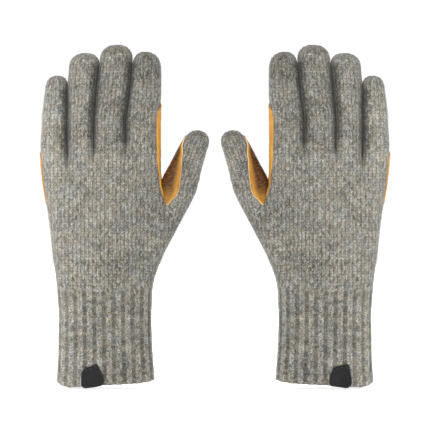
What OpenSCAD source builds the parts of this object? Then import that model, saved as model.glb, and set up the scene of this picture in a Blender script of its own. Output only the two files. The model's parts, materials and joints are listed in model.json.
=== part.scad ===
// A pair of ribbed, knitted gloves with leather palms, standing on their hems with the fingers up.
// Each glove is drawn once, thumb towards -X and palm towards +Y, as the right-hand glove.
// The left-hand glove is its mirror image. The origin is on the hem plane, midway between the two gloves.

/* [Pair] */
// Distance between the centres of the two cuffs as the pair is set out
pair_spacing = 184; // [176:1:240]

/* [Cuff] */
// Width of the ribbed cuff across the wrist
cuff_w = 79; // [66:0.5:95]
// Depth of the ribbed cuff from the back of the hand to the palm
cuff_d = 36; // [30:0.5:44]
// Height of the ribbed cuff from the hem to the first plain course
cuff_h = 82; // [60:1:110]
// Wall of the ribbed cuff from the inside to the top of a rib
cuff_t = 3.2; // [2.4:0.1:4]
// Number of ribs round the cuff
rib_count = 24; // [16:1:32]
// Depth of the furrows between the ribs
rib_depth = 0.9; // [0.3:0.1:1.4]

/* [Hand] */
// Length of the plain knitted palm from the cuff to the knuckle line
palm_l = 118; // [98:1:142]
// Depth of the hand at the ball of the thumb
palm_d = 35; // [30:0.5:42]
// Depth of the hand at the knuckle line
knuckle_d = 27; // [24:0.5:32]
// Distance of the knuckle line's centre from the cuff's centre, away from the thumb
knuckle_shift = 3.5; // [0:0.5:8]
// Wall of the plain knitting
knit_t = 2.5; // [1.8:0.1:3]

/* [Finger widths] */
// Width of the index finger at its root
index_w = 31; // [25:0.5:37]
// Width of the middle finger at its root
middle_w = 27.5; // [23:0.5:33]
// Width of the ring finger at its root
ring_w = 24.5; // [22:0.5:30]
// Width of the little finger at its root
little_w = 20; // [18.5:0.5:24]
// Width of the index finger near its tip
index_tip_w = 26; // [22:0.5:32]
// Width of the middle finger near its tip
middle_tip_w = 28; // [23.5:0.5:34]
// Width of the ring finger near its tip
ring_tip_w = 24; // [20:0.5:29]
// Width of the little finger near its tip
little_tip_w = 19; // [18:0.5:23]
// Gap between neighbouring fingers
finger_gap = 0.8; // [0.6:0.1:2]

/* [Finger lengths] */
// Length of the index finger above the knuckle line
index_l = 82; // [68:1:99]
// Length of the middle finger above the knuckle line
middle_l = 88; // [73:1:106]
// Length of the ring finger above the knuckle line
ring_l = 81; // [67:1:98]
// Length of the little finger above the knuckle line
little_l = 62; // [52:1:75]
// Depth of the index, middle and ring fingers
finger_d = 21.5; // [18:0.5:22.5]
// Depth of the little finger
little_d = 17.5; // [15:0.5:18]
// Height of the crotch between index and middle finger above the knuckle line
index_crotch = 6; // [3:0.5:8]
// Height of the crotch between middle and ring finger above the knuckle line
ring_crotch = 2; // [0:0.5:5]
// Height of the crotch between ring and little finger above the knuckle line
little_crotch = -4; // [-6:0.5:2]
// Height of a finger's root fold above the higher of its crotches
root_fold = 7; // [5:0.5:10]

/* [Thumb] */
// Width of the thumb at its root fold
thumb_w = 28.5; // [24:0.5:34]
// Width of the thumb near its tip
thumb_tip_w = 23; // [21.5:0.5:28]
// Depth of the thumb
thumb_d = 21; // [17:0.5:21.5]
// Length of the thumb beyond its root fold
thumb_l = 49; // [41:1:59]
// Height of the thumb's root fold above the cuff
thumb_up = 88; // [78:1:100]
// Angle between the thumb and the fingers
thumb_angle = 22; // [16:1:30]

/* [Leather] */
// Thickness of the leather on the palm, fingers and thumb
leather_t = 1; // [0.6:0.1:1.4]
// Thread room between the leather and the knitting
leather_gap = 0.1; // [0.05:0.05:0.3]
// Height of the palm leather's lower edge above the cuff
palm_edge_up = 18; // [14:1:30]
// Radius of the palm leather's lower corners
palm_corner_r = 16; // [8:1:24]

/* [Tab] */
// Width of the leather tab folded over the hem
tab_w = 17; // [12:0.5:24]
// Height of the leather tab's outer flap
tab_h = 19.5; // [14:0.5:26]
// Height of the leather tab's inner flap
tab_in_h = 12; // [8:0.5:20]
// Thickness of the leather tab
tab_t = 1.2; // [0.8:0.1:1.6]
// Distance of the tab's centre from the cuff's centre, away from the thumb
tab_out = 11; // [0:0.5:14]
// Number of stitches that hold the tab
stitch_count = 5; // [3:1:7]
// Diameter of the sewing thread
thread_d = 0.8; // [0.5:0.1:1]

/* [Hidden] */
$fn = 48;
// Room between two pieces that move against each other.
move_gap = 0.3;
// Room between a folded tab and the cuff inside it.
tab_gap = 0.15;
// Steps on each round end of a section, and on each leather edge.
end_steps = 9;
strip_steps = 4;
// Share of a finger's length above its root fold that lies below its middle fold.
middle_share = 0.46;
// Fingertips round off over this share of their width.
dome_share = 0.52;
// Depth that a finger's stub starts below the knuckle line, inside the hand.
stub_sink = 10;
// The thumb's root: how far it reaches into the hand, and how much it swells and sweeps in per millimetre.
thumb_root_l = 66;
thumb_swell = 0.15;
thumb_sweep = 0.28;
// Heights of the rings on a rounded tip, as shares of the dome.
dome_steps = [0, 0.4, 0.7, 0.9, 1];

knuckle_z = cuff_h + palm_l;
skin_t = leather_gap + leather_t;
// The wrist turns on a round-bottomed seat that is a little wider than the hand is deep.
wrist_r = cuff_d / 2 + 4;
wrist_z = cuff_h + sqrt(wrist_r * wrist_r - cuff_d * cuff_d / 4);

// Fingers in order from the thumb side.
INDEX = 0;
MIDDLE = 1;
RING = 2;
LITTLE = 3;
root_ws = [index_w, middle_w, ring_w, little_w];
tip_ws = [index_tip_w, middle_tip_w, ring_tip_w, little_tip_w];
lengths = [index_l, middle_l, ring_l, little_l];
depths = [finger_d, finger_d, finger_d, little_d];
higher_crotches = [index_crotch, index_crotch, ring_crotch, little_crotch];
digits = ["index", "middle", "ring", "little", "thumb"];
sides = ["left", "right"];

// Sum of the first k values of a list.
function sum_to(list, k) = k <= 0 ? 0 : list[k - 1] + sum_to(list, k - 1);
knuckle_w = sum_to(root_ws, 4);
hand_edge = knuckle_shift - knuckle_w / 2;
fan_z = knuckle_z + ring_l - dome_share * ring_tip_w;

// Edge line k of the finger fan at height z: line 0 is the index's outer edge, line 4 the little finger's.
// The lines run straight up the hand below the knuckle line.
function fan_edge(k, z) =
    let (root = hand_edge + sum_to(root_ws, k), tip = hand_edge + sum_to(tip_ws, k))
    root + (tip - root) * (max(z, knuckle_z) - knuckle_z) / (fan_z - knuckle_z);

function finger_w(k, z) = fan_edge(k + 1, z) - fan_edge(k, z) - finger_gap;
function finger_x(k, z) = (fan_edge(k + 1, z) + fan_edge(k, z)) / 2;
function root_fold_z(k) = knuckle_z + higher_crotches[k] + root_fold;
function tip_z(k) = knuckle_z + lengths[k];
function middle_fold_z(k) = root_fold_z(k) + middle_share * (tip_z(k) - root_fold_z(k));

// A flat-sided oval: two round ends joined by straight sides, anticlockwise from the -Y end of the +X side.
function oval(w, d) =
    let (r = min(d, w) / 2, reach = (max(w, d) - d) / 2)
    [
        for (end = [0, 1])
            for (i = [0:end_steps])
                let (a = -90 + 180 * (end + i / end_steps))
                [(end == 0 ? reach : -reach) + min(w, d) / 2 * cos(a), r * sin(a)]
    ];

// A strip that lies on the palm side of such an oval, between two angles counted from +X.
function strip_arc(w, d, grow, from, to) =
    let (
        // The middle of each straight step, not its ends, keeps clear of the round knitting inside.
        step = max(90 - from, to - 90) / strip_steps,
        r = (d / 2 + grow) / cos(step / 2),
        reach = max(w - d, 0) / 2
    )
    [
        for (i = [0:strip_steps])
            let (a = from + (90 - from) * i / strip_steps)
            [reach + r * cos(a), r * sin(a)],
        for (i = [0:strip_steps])
            let (a = 90 + (to - 90) * i / strip_steps)
            [-reach + r * cos(a), r * sin(a)]
    ];

function reversed(list) = [for (i = [len(list) - 1:-1:0]) list[i]];

function strip(w, d, from, to) =
    concat(
        strip_arc(w, d, skin_t, from, to),
        reversed(strip_arc(w, d, leather_gap, from, to))
    );

// A section lifted to height z about the centre line x.
function lift(points, x, z, slope = 0) = [for (p = points) [p.x + x, p.y, z + slope * p.x]];

// A closed solid through a row of rings that all have the same number of points.
module skin(rings) {
    n = len(rings[0]);
    last = len(rings) - 1;
    polyhedron(
        points = [for (ring = rings) each ring],
        faces = concat(
            [[for (j = [0:n - 1]) j]],
            [
                for (i = [0:last - 1])
                    for (j = [0:n - 1])
                        let (k = (j + 1) % n)
                        each [
                            [i * n + j, (i + 1) * n + j, (i + 1) * n + k],
                            [i * n + j, (i + 1) * n + k, i * n + k]
                        ]
            ],
            [[for (j = [n - 1:-1:0]) last * n + j]]
        )
    );
}

// A closed solid through a row of strip sections; each end is closed across the strip's thickness.
module strip_skin(rings) {
    n = len(rings[0]);
    last = len(rings) - 1;
    polyhedron(
        points = [for (ring = rings) each ring],
        faces = concat(
            [
                for (j = [0:n / 2 - 2])
                    each [[j, j + 1, n - 2 - j], [j, n - 2 - j, n - 1 - j]]
            ],
            [
                for (i = [0:last - 1])
                    for (j = [0:n - 1])
                        let (k = (j + 1) % n)
                        each [
                            [i * n + j, (i + 1) * n + j, (i + 1) * n + k],
                            [i * n + j, (i + 1) * n + k, i * n + k]
                        ]
            ],
            [
                for (j = [0:n / 2 - 2])
                    let (b = last * n)
                    each [[b + j, b + n - 2 - j, b + j + 1], [b + j, b + n - 1 - j, b + n - 2 - j]]
            ]
        )
    );
}

// An open tube: the same row of rings joined back to its first ring.
module loop_skin(rings) {
    n = len(rings[0]);
    m = len(rings);
    polyhedron(
        points = [for (ring = rings) each ring],
        faces = [
            for (i = [0:m - 1])
                for (j = [0:n - 1])
                    let (k = (j + 1) % n, up = (i + 1) % m)
                    each [
                        [i * n + j, up * n + j, up * n + k],
                        [i * n + j, up * n + k, i * n + k]
                    ]
        ]
    );
}

// Straight-walled blocks through a row of rings, blended one to the next.
module chain(rings) {
    for (i = [0:len(rings) - 2]) {
        hull() skin([rings[i], rings[i + 1]]);
    }
}

// Places a piece of the glove on its side of the pair.
module on_side(side) {
    mirror([side == "left" ? 1 : 0, 0, 0]) translate([pair_spacing / 2, 0, 0]) children();
}

// ---- Cuff ----

// Point and outward direction at distance s along the cuff's oval outline.
function cuff_point(s) =
    let (
        r = cuff_d / 2,
        flat = cuff_w - cuff_d,
        arc = PI * r,
        a = s < arc ? -90 + 180 * s / arc : s < arc + flat ? 90
            : s < 2 * arc + flat ? 90 + 180 * (s - arc - flat) / arc : 270,
        run = s < arc ? 0 : s < arc + flat ? s - arc : s < 2 * arc + flat ? flat : 2 * arc + 2 * flat - s
    )
    [flat / 2 - run + r * cos(a), r * sin(a), cos(a), sin(a)];

module cuff_outline() {
    girth = 2 * (cuff_w - cuff_d) + PI * cuff_d;
    steps = rib_count * 6;
    polygon([
        for (i = [0:steps - 1])
            let (p = cuff_point(girth * i / steps), dip = rib_depth * (1 - cos(360 * rib_count * i / steps)) / 2)
            [p[0] - dip * p[2], p[1] - dip * p[3]]
    ]);
}

// The oval of the cuff grown outwards, or shrunk by a negative amount.
module cuff_oval(grow) {
    r = cuff_d / 2 + grow;
    union() {
        square([cuff_w - cuff_d, 2 * r], center = true);
        for (way = [-1, 1]) {
            translate([way * (cuff_w - cuff_d) / 2, 0]) circle(r);
        }
    }
}

module wrist_seat(r) {
    translate([0, 0, wrist_z]) rotate([0, 90, 0]) cylinder(h = 2 * cuff_w, r = r, center = true);
}

module cuff() {
    color("dimgray") difference() {
        linear_extrude(wrist_z) cuff_outline();
        translate([0, 0, -1]) linear_extrude(wrist_z + 2) cuff_oval(-cuff_t);
        wrist_seat(wrist_r + move_gap / 2);
        // The hem is let in where the tab folds under it.
        translate([tab_out - tab_w / 2 - tab_gap, -cuff_d, -1])
            cube([tab_w + 2 * tab_gap, cuff_d, 1 + tab_t + tab_gap]);
    }
}

// ---- Tab ----

// The back half of the cuff's wall at the tab's width, between two growths of the oval.
module tab_slice(inner, outer) {
    intersection() {
        difference() {
            cuff_oval(outer);
            cuff_oval(inner);
        }
        translate([tab_out - tab_w / 2, -cuff_d]) square([tab_w, cuff_d]);
    }
}

module tab() {
    out = tab_gap + tab_t;
    in = -cuff_t - out;
    color([0.12, 0.12, 0.13]) union() {
        linear_extrude(tab_t) tab_slice(in, out);
        linear_extrude(tab_h) tab_slice(tab_gap, out);
        linear_extrude(tab_in_h) tab_slice(in, -cuff_t - tab_gap);
    }
}

module tab_thread() {
    pitch = (tab_w - 4) / (stitch_count - 1);
    color([0.2, 0.2, 0.2]) for (i = [0:stitch_count - 1]) {
        x = tab_out + (i - (stitch_count - 1) / 2) * pitch;
        flat = (cuff_w - cuff_d) / 2;
        r = cuff_d / 2 + tab_gap + tab_t;
        y = abs(x) <= flat ? r : sqrt(r * r - (abs(x) - flat) * (abs(x) - flat));
        translate([x, -y, tab_in_h - 3]) rotate([0, 90, 0])
            cylinder(h = pitch * 0.6, d = thread_d, center = true);
    }
}

// ---- Hand ----

palm_z = cuff_h + 0.34 * palm_l;
knuckle_slope = (little_crotch - index_crotch) / knuckle_w;

// A section of the trunk of the hand, grown outwards by grow.
function trunk_ring(left, right, d, z, grow, slope = 0) =
    lift(oval(right - left + 2 * grow, d + 2 * grow), (left + right) / 2, z, slope);

// The trunk runs from inside the cuff's mouth to the finger crotches.
function trunk_rings(grow) =
    let (right = hand_edge + knuckle_w, low = wrist_z - wrist_r - 2, mid = (palm_z - cuff_h) / palm_l)
    [
        trunk_ring(-cuff_w / 2, cuff_w / 2, cuff_d, low, grow),
        trunk_ring(-cuff_w / 2, cuff_w / 2, cuff_d, cuff_h, grow),
        trunk_ring(hand_edge + 1, cuff_w / 2 + (right - cuff_w / 2) * mid, palm_d, palm_z, grow),
        trunk_ring(hand_edge, right, knuckle_d, knuckle_z - 8 + grow, grow, knuckle_slope),
        trunk_ring(hand_edge + 4, right - 4, knuckle_d - 9, knuckle_z + 1 + grow, grow, knuckle_slope)
    ];

function finger_ring(k, z, grow) =
    lift(oval(finger_w(k, z) + 2 * grow, depths[k] + 2 * grow), finger_x(k, z), z);

// Root of the thumb: the centre of its fold, and a section at distance s along the thumb from there.
thumb_x = hand_edge - 2 * skin_t - finger_gap - thumb_w / 2 * cos(thumb_angle);
thumb_z = cuff_h + thumb_up;

function thumb_frame(points, s, x = 0) = [
    for (p = points)
        [
            thumb_x - s * sin(thumb_angle) + (p.x + x) * cos(thumb_angle),
            p.y,
            thumb_z + s * cos(thumb_angle) + (p.x + x) * sin(thumb_angle)
        ]
];

// Below its fold the thumb's root swells to the ball of the thumb and sweeps in under the palm.
function thumb_root_w(s) = thumb_w + thumb_swell * min(max(-s, 0), thumb_root_l / 2);
function thumb_root_d(s) = thumb_d + (palm_d - thumb_d - 2) * min(max(-s, 0), thumb_root_l) / thumb_root_l;
function thumb_root_shift(s) = thumb_sweep * max(-s - thumb_root_l / 5, 0);

function thumb_root_ring(s, grow) =
    thumb_frame(oval(thumb_root_w(s) + 2 * grow, thumb_root_d(s) + 2 * grow), s, thumb_root_shift(s));

// The outer form of the hand, grown outwards by grow, with its digit stubs cut at their root folds.
module hand_form(grow) {
    over = grow < 0 ? 1 : 0;
    chain(trunk_rings(grow));
    for (k = [INDEX:LITTLE]) {
        top = root_fold_z(k) - move_gap / 2 + over;
        chain([finger_ring(k, knuckle_z - stub_sink, grow), finger_ring(k, top, grow)]);
    }
    chain([
        for (share = [-1, -0.7, -0.35, 0])
            thumb_root_ring(share < 0 ? share * thumb_root_l : -move_gap / 2 + over, grow)
    ]);
}

// Everything below the hand's round seat in the cuff.
module below_seat() {
    difference() {
        translate([-2 * cuff_w, -cuff_w, -1]) cube([4 * cuff_w, 2 * cuff_w, wrist_z + 1]);
        wrist_seat(wrist_r - move_gap / 2);
    }
}

module hand() {
    color("gray") difference() {
        hand_form(0);
        hand_form(-knit_t);
        below_seat();
    }
}

// Outline of the palm leather, seen from the palm, with rounded lower corners.
module palm_outline() {
    low = cuff_h + palm_edge_up;
    right = hand_edge + knuckle_w + 10;
    hull() {
        translate([-cuff_w / 2 + palm_corner_r - 2, low + palm_corner_r]) circle(palm_corner_r);
        translate([cuff_w / 2 - palm_corner_r + 2, low + palm_corner_r]) circle(palm_corner_r);
        translate([right - 1, knuckle_z - 50]) square([1, 80]);
        translate([thumb_x - thumb_w, thumb_z]) square([1, 60]);
    }
}

module palm_leather() {
    color("goldenrod") intersection() {
        difference() {
            hand_form(skin_t);
            hand_form(leather_gap);
        }
        translate([0, palm_d, 0]) rotate([90, 0, 0]) linear_extrude(palm_d - 1) palm_outline();
    }
}

// ---- Fingers ----

// Rings of a rounded tip: a section shrinks as the height nears the top.
function dome_size(share) = max(sqrt(1 - share * share), 0.22);

function finger_dome(k, top, grow) =
    let (rise = dome_share * tip_ws[k], z0 = top - rise, w = finger_w(k, z0) + 2 * grow, d = depths[k] + 2 * grow)
    [
        for (share = dome_steps)
            lift(oval(w * dome_size(share), d * dome_size(share)), finger_x(k, z0), z0 + rise * share)
    ];

module finger_base(k) {
    low = root_fold_z(k) + move_gap / 2;
    high = middle_fold_z(k) - move_gap / 2;
    loop_skin([
        finger_ring(k, high, -knit_t),
        finger_ring(k, low, -knit_t),
        finger_ring(k, low, 0),
        finger_ring(k, high, 0)
    ]);
}

module finger_tip(k) {
    low = middle_fold_z(k) + move_gap / 2;
    skin(concat(
        reversed(finger_dome(k, tip_z(k) - knit_t, -knit_t)),
        [finger_ring(k, low, -knit_t), finger_ring(k, low, 0)],
        finger_dome(k, tip_z(k), 0)
    ));
}

// The leather reaches round the outer sides of the index and little fingers.
function strip_from(k) = k == LITTLE ? -10 : 30;
function strip_to(k) = k == INDEX ? 190 : 150;

function finger_strip(k, z) =
    lift(strip(finger_w(k, z), depths[k], strip_from(k), strip_to(k)), finger_x(k, z), z);

module finger_base_leather(k) {
    strip_skin([
        finger_strip(k, root_fold_z(k) + move_gap / 2),
        finger_strip(k, middle_fold_z(k) - move_gap / 2)
    ]);
}

module finger_tip_leather(k) {
    top = tip_z(k) - dome_share * tip_ws[k];
    strip_skin([finger_strip(k, middle_fold_z(k) + move_gap / 2), finger_strip(k, top)]);
}

// ---- Thumb ----

thumb_fold = middle_share * thumb_l;
thumb_dome = dome_share * thumb_tip_w;

function thumb_size(s) = thumb_w + (thumb_tip_w - thumb_w) * min(s / (thumb_l - thumb_dome), 1);
function thumb_ring(s, grow) = thumb_frame(oval(thumb_size(s) + 2 * grow, thumb_d + 2 * grow), s);

function thumb_cap(top, grow) =
    let (w = thumb_tip_w + 2 * grow, d = thumb_d + 2 * grow)
    [
        for (share = dome_steps)
            thumb_frame(oval(w * dome_size(share), d * dome_size(share)), top - thumb_dome * (1 - share))
    ];

module thumb_base() {
    low = move_gap / 2;
    high = thumb_fold - move_gap / 2;
    loop_skin([thumb_ring(high, -knit_t), thumb_ring(low, -knit_t), thumb_ring(low, 0), thumb_ring(high, 0)]);
}

module thumb_tip() {
    low = thumb_fold + move_gap / 2;
    skin(concat(
        reversed(thumb_cap(thumb_l - knit_t, -knit_t)),
        [thumb_ring(low, -knit_t), thumb_ring(low, 0)],
        thumb_cap(thumb_l, 0)
    ));
}

// The thumb's leather faces the palm and the index finger.
function thumb_strip(s) = thumb_frame(strip(thumb_size(s), thumb_d, -35, 150), s);

module thumb_base_leather() {
    strip_skin([thumb_strip(move_gap / 2), thumb_strip(thumb_fold - move_gap / 2)]);
}

module thumb_tip_leather() {
    strip_skin([thumb_strip(thumb_fold + move_gap / 2), thumb_strip(thumb_l - thumb_dome)]);
}

module digit_piece(digit, piece) {
    k = search([digit], digits)[0];
    leather = piece == "base_leather" || piece == "tip_leather";
    color(leather ? "goldenrod" : piece == "base" ? "silver" : "darkgray") {
        if (digit == "thumb" && piece == "base") thumb_base();
        if (digit == "thumb" && piece == "tip") thumb_tip();
        if (digit == "thumb" && piece == "base_leather") thumb_base_leather();
        if (digit == "thumb" && piece == "tip_leather") thumb_tip_leather();
        if (digit != "thumb" && piece == "base") finger_base(k);
        if (digit != "thumb" && piece == "tip") finger_tip(k);
        if (digit != "thumb" && piece == "base_leather") finger_base_leather(k);
        if (digit != "thumb" && piece == "tip_leather") finger_tip_leather(k);
    }
}

for (side = sides) {
    on_side(side) cuff();
    on_side(side) tab();
    on_side(side) tab_thread();
    on_side(side) hand();
    on_side(side) palm_leather();
    for (digit = digits) {
        for (piece = ["base", "tip", "base_leather", "tip_leather"]) {
            on_side(side) digit_piece(digit, piece);
        }
    }
}
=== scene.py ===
"""A pair of grey ragg-wool gloves with ribbed cuffs, golden leather palms and a black tab on each hem."""

import json
import math

import bpy
import numpy as np
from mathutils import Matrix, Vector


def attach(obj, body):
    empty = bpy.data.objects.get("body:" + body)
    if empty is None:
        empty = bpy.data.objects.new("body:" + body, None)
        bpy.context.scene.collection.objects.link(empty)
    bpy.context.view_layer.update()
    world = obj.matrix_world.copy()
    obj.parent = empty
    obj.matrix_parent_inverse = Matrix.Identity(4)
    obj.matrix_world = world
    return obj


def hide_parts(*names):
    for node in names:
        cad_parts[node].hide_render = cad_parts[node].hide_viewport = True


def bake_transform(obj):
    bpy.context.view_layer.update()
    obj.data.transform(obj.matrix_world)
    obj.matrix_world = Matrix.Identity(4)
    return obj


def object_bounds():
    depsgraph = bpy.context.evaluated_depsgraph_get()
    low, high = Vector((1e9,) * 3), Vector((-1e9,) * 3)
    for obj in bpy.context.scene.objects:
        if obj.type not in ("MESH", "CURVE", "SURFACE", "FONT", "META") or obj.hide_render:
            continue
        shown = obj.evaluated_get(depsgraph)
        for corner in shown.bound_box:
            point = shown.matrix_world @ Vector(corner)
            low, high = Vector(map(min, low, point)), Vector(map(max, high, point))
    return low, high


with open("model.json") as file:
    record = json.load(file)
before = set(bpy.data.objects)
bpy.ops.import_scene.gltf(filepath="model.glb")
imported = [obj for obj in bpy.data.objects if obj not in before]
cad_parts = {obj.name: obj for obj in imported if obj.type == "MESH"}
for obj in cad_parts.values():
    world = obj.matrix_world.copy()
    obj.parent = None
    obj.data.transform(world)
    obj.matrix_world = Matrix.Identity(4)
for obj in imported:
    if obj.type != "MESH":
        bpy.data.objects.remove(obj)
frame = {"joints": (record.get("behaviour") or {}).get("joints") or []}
cad_low, cad_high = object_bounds()

# Lengths are in millimetres in one glove's own frame until a mesh is made. There u runs from the thumb's
# side to the little finger's side, z up from the hem, and -y is the back of the hand, facing the camera.
MM = 0.001
SIDES = {"left": -1, "right": 1}
DIGITS = ("thumb", "index", "middle", "ring", "little")
THUMB, INDEX, MIDDLE, RING, LITTLE = range(5)

# Knitting
ROW = 0.62  # spacing of the mesh rows
WALE = 3.3  # width of a column of stitches
COURSE = 2.4  # height of a row of stitches
COLUMNS = (54, 66, 60, 54, 46)  # mesh cells across each digit's back
STITCH = 0.62  # height of the plain stitches
RIB_STITCH = 0.5
RIB_DEPTH = 0.75  # how deep the grooves between ribs go
LEG_LEAN = 1.7  # how much the legs of a stitch slant
RIBS_ACROSS = 12  # ribs on each face of the cuff
RIB_TOP = 82.0
WALL = 2.6  # thickness of the knitted wall at the hem
WALL_TOP = 72.0  # height to which the wall's inside is drawn
WALL_ROW = 4.5
PALM_STITCHES = 40.0  # the palm side's stitches are counted from here

# Leather
LEATHER = 1.15  # how far its face stands off the knitting's base surface
LEATHER_EDGE = 0.9  # how far its cut edge reaches down
LEATHER_END = 10.0  # length of its rounded upper end on each digit
LEATHER_CELLS = 0.8  # its mesh cells for each cell of the knitting
WEB_CELLS = 40
UNDER_LEATHER = 5  # columns of knitting that go on under its edge
PALM_LOW = 98.0
PALM_CORNER = 16.0
NOTCH = 153.5  # bottom of the leather's V between thumb and index finger

CUFF_TOP = 98.0  # the cuff's own knitting ends here and the hand's begins
WRIST_BEND = 18.0  # the length just below that over which the wrist bends
ROOT_BEND = 7.0  # half the length over which a finger bends at its root
MIDDLE_BEND = 8.0
THUMB_BEND = 6.0
THUMB_ROOT_BEND = 13.0  # where along the thumb its first bend lies


def stack(*parts):
    """Arrays joined along a new last axis, as coordinates into points."""
    return np.stack(parts, axis=-1)


def smooth(t):
    t = np.clip(t, 0.0, 1.0)
    return t * t * (3 - 2 * t)


def line(points, blur=5.0):
    """A smoothed line through a few (place, value) points."""
    z = np.arange(-60.0, 340.0, 0.5)
    value = np.interp(z, *np.array(points, float).T)
    kernel = np.hanning(int(4 * blur) + 1)
    padded = np.pad(value, len(kernel) // 2, mode="edge")
    value = np.convolve(padded, kernel / kernel.sum(), mode="valid")
    return lambda at: np.interp(at, z, value)


def scatter(*cells):
    """A steady random number from 0 to 1 for each cell of whole numbers."""
    total = sum(k * np.asarray(cell, float) for k, cell in zip((12.9898, 78.233, 37.719), cells))
    return np.mod(np.sin(total) * 43758.5453, 1.0)


def noise(points, size):
    """Smooth noise from -1 to 1 with features of this size."""
    q = points / np.asarray(size, float)
    cell = np.floor(q)
    part = smooth(q - cell)
    total = np.zeros(q.shape[:-1])
    for corner in np.ndindex(2, 2, 2):
        weight = np.prod(np.where(np.array(corner) == 1, part, 1 - part), axis=-1)
        at = cell + corner
        total += weight * scatter(at[..., 0], at[..., 1], at[..., 2])
    return 2 * total - 1


# ---- Outline of one glove, seen from the back of the hand ----

# The six lines between and outside the digits, from the thumb's side to the little finger's side.
EDGES = (
    line([(0, -41.5), (6, -40.6), (15, -40.2), (35, -39), (60, -38.2), (80, -39), (90, -40.6), (100, -43.8),
          (112, -48.8), (132, -59.4), (152, -70.2), (162, -75.2), (170, -77.8)]),
    line([(0, -22), (82, -30), (125, -45), (148, -50.5), (154, -50.9), (170, -46.8), (178, -45.6),
          (232, -45.6), (245, -46.6), (300, -46.6)], 3.0),
    line([(0, -10), (82, -11), (170, -17.2), (226, -17.2), (245, -20), (270, -22.5), (300, -23)]),
    line([(0, 8), (82, 9), (170, 9.5), (224, 9.6), (240, 8.4), (262, 6.4), (275, 4.6), (300, 3.8)]),
    line([(0, 24), (82, 26), (170, 31), (205, 32), (250, 32), (266, 30.8), (300, 30.6)]),
    line([(0, 41.2), (6, 40.8), (15, 39.9), (60, 39), (80, 40.5), (92, 41.6), (107, 44.1), (127, 45.8),
          (147, 48.3), (172, 52.3), (190, 53.9), (203, 54.6), (228, 53.8), (238, 52.2), (250, 50.8),
          (270, 50.0)]),
)
HALF_DEPTH = line([(0, 18), (30, 17.4), (82, 17), (120, 17.2), (170, 15.4), (206, 12), (300, 12)])
# How far the curved hem is lifted at each u, and the height where that ends.
HEM_LIFT = line([(-43, 7.2), (-38, 5.6), (-28, 4.2), (-15, 3.6), (1, 3.0), (12, 2.2), (21, 1.3), (30, 0.8),
                 (36, 1.9), (42, 5.0)], 2.0)
HEM_FADE = 30.0
HEM_HALF = (40.0, 18.0)  # half the width and half the depth of the ring at the hem

CROTCH = (170.5, 206.0, 202.0, 196.0)  # thumb|index, index|middle, middle|ring, ring|little
TIP = (48.6, 282.0, 288.0, 281.0, 262.0)  # the thumb's is its length along its own axis
DOME = (14.0, 14.0, 13.5, 13.0, 11.5)
TIP_SHIFT = (-1.2, 1.9, -0.5, -1.3, -0.4)  # how far each rounded tip leans sideways
HALF_DIGIT = (10.6, 10.8, 10.8, 10.8, 8.8)  # half the depth of each digit
PRESS = 0.15  # how far neighbouring fingers press into each other
SHADE_REACH = (4.4, 2.4)  # how far the painted shade between two fingers reaches to either side
GROOVE = 30.0  # how far the grooves between the fingers fade into the hand
THUMB_START = 124.0  # height where the thumb begins to part from the hand
THUMB_TURN = 15.0  # distance over which its sections turn from level to square across it
THUMB_HALF = line([(0, 15.3), (6, 14.6), (13, 13.0), (24, 11.9), (36, 10.4), (60, 10.4)], 3.0)

# How square the sections are, where 2 is an ellipse.
HAND_POWER = 2.7
FINGER_POWER = 2.2
THUMB_POWER = 2.3
TIP_POWER = 2.4
SECTION_POINTS = 161  # on half of a section


def on_grid(z):
    """The height of the mesh row nearest to a height."""
    return round(z / ROW) * ROW


CROTCH = tuple(on_grid(z) for z in CROTCH)
CUFF_TOP = on_grid(CUFF_TOP)
PALM_LOW = on_grid(PALM_LOW)


def oval(x, low, high, depth, power):
    """Half depth at x of a rounded section between two edges."""
    t = np.clip(np.abs((x - (low + high) / 2) / ((high - low) / 2)), 0, 1)
    return depth * (1 - t**power) ** (1 / power)


def joint(side, name):
    return next(j for j in frame["joints"] if j["name"] == f"{side}_{name}")


HALF_PAIR = joint("right", "wrist")["pos_m"][0] / MM
THUMB_AXIS = joint("right", "thumb_root_fold")["axis"]
THUMB_TILT = math.atan2(abs(THUMB_AXIS[2]), abs(THUMB_AXIS[0]))
MIDDLE_FOLD = [joint("right", f"{digit}_middle_fold")["pos_m"] for digit in DIGITS]
THUMB_FOLD = math.dist(MIDDLE_FOLD[THUMB], joint("right", "thumb_root_fold")["pos_m"]) / MM
FOLD_AT = [THUMB_FOLD] + [MIDDLE_FOLD[k][2] / MM for k in range(INDEX, LITTLE + 1)]
# The highest crotch beside each finger, where its own pieces begin.
START = (0.0, CROTCH[1], CROTCH[1], CROTCH[2], CROTCH[3])


def lower_rows(top):
    """Heights and insets of the mesh rows from inside the hem, round its edge and up the outside."""
    inside = [(z, WALL) for z in np.arange(WALL_TOP, 4.0, -WALL_ROW)]
    turn = [(2.4, WALL), (1.1, 2.2), (0.35, 1.5), (0.0, 0.8), (0.35, 0.25), (1.1, 0.0)]
    outside = [(z, 0.0) for z in np.arange(3, round(top / ROW) + 1) * ROW]
    return np.array(inside + turn + outside)


def digit_rows(k):
    """For each mesh row: height, inset, size (1 below the rounded tip) and distance along the digit."""
    if k == THUMB:
        low = lower_rows(CROTCH[0])
        rows = [(z, inset, 1.0, -1.0) for z, inset in low]
        start = TIP[k] - DOME[k]
        for s in np.linspace(0, start, int(start / ROW) + 1)[1:]:
            rows.append((CROTCH[0], 0.0, 1.0, s))
    else:
        start = on_grid(TIP[k] - DOME[k])
        rows = [(z, inset, 1.0, -1.0) for z, inset in lower_rows(start)]
    for turn in np.linspace(0, 1, 30)[1:]:
        rise = math.sin(turn * math.pi / 2)
        size = (1 - rise**TIP_POWER) ** (1 / TIP_POWER)
        at = start + (TIP[k] - start) * rise
        rows.append((CROTCH[0], 0.0, size, at) if k == THUMB else (at, 0.0, size, -1.0))
    return np.array(rows)


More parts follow.
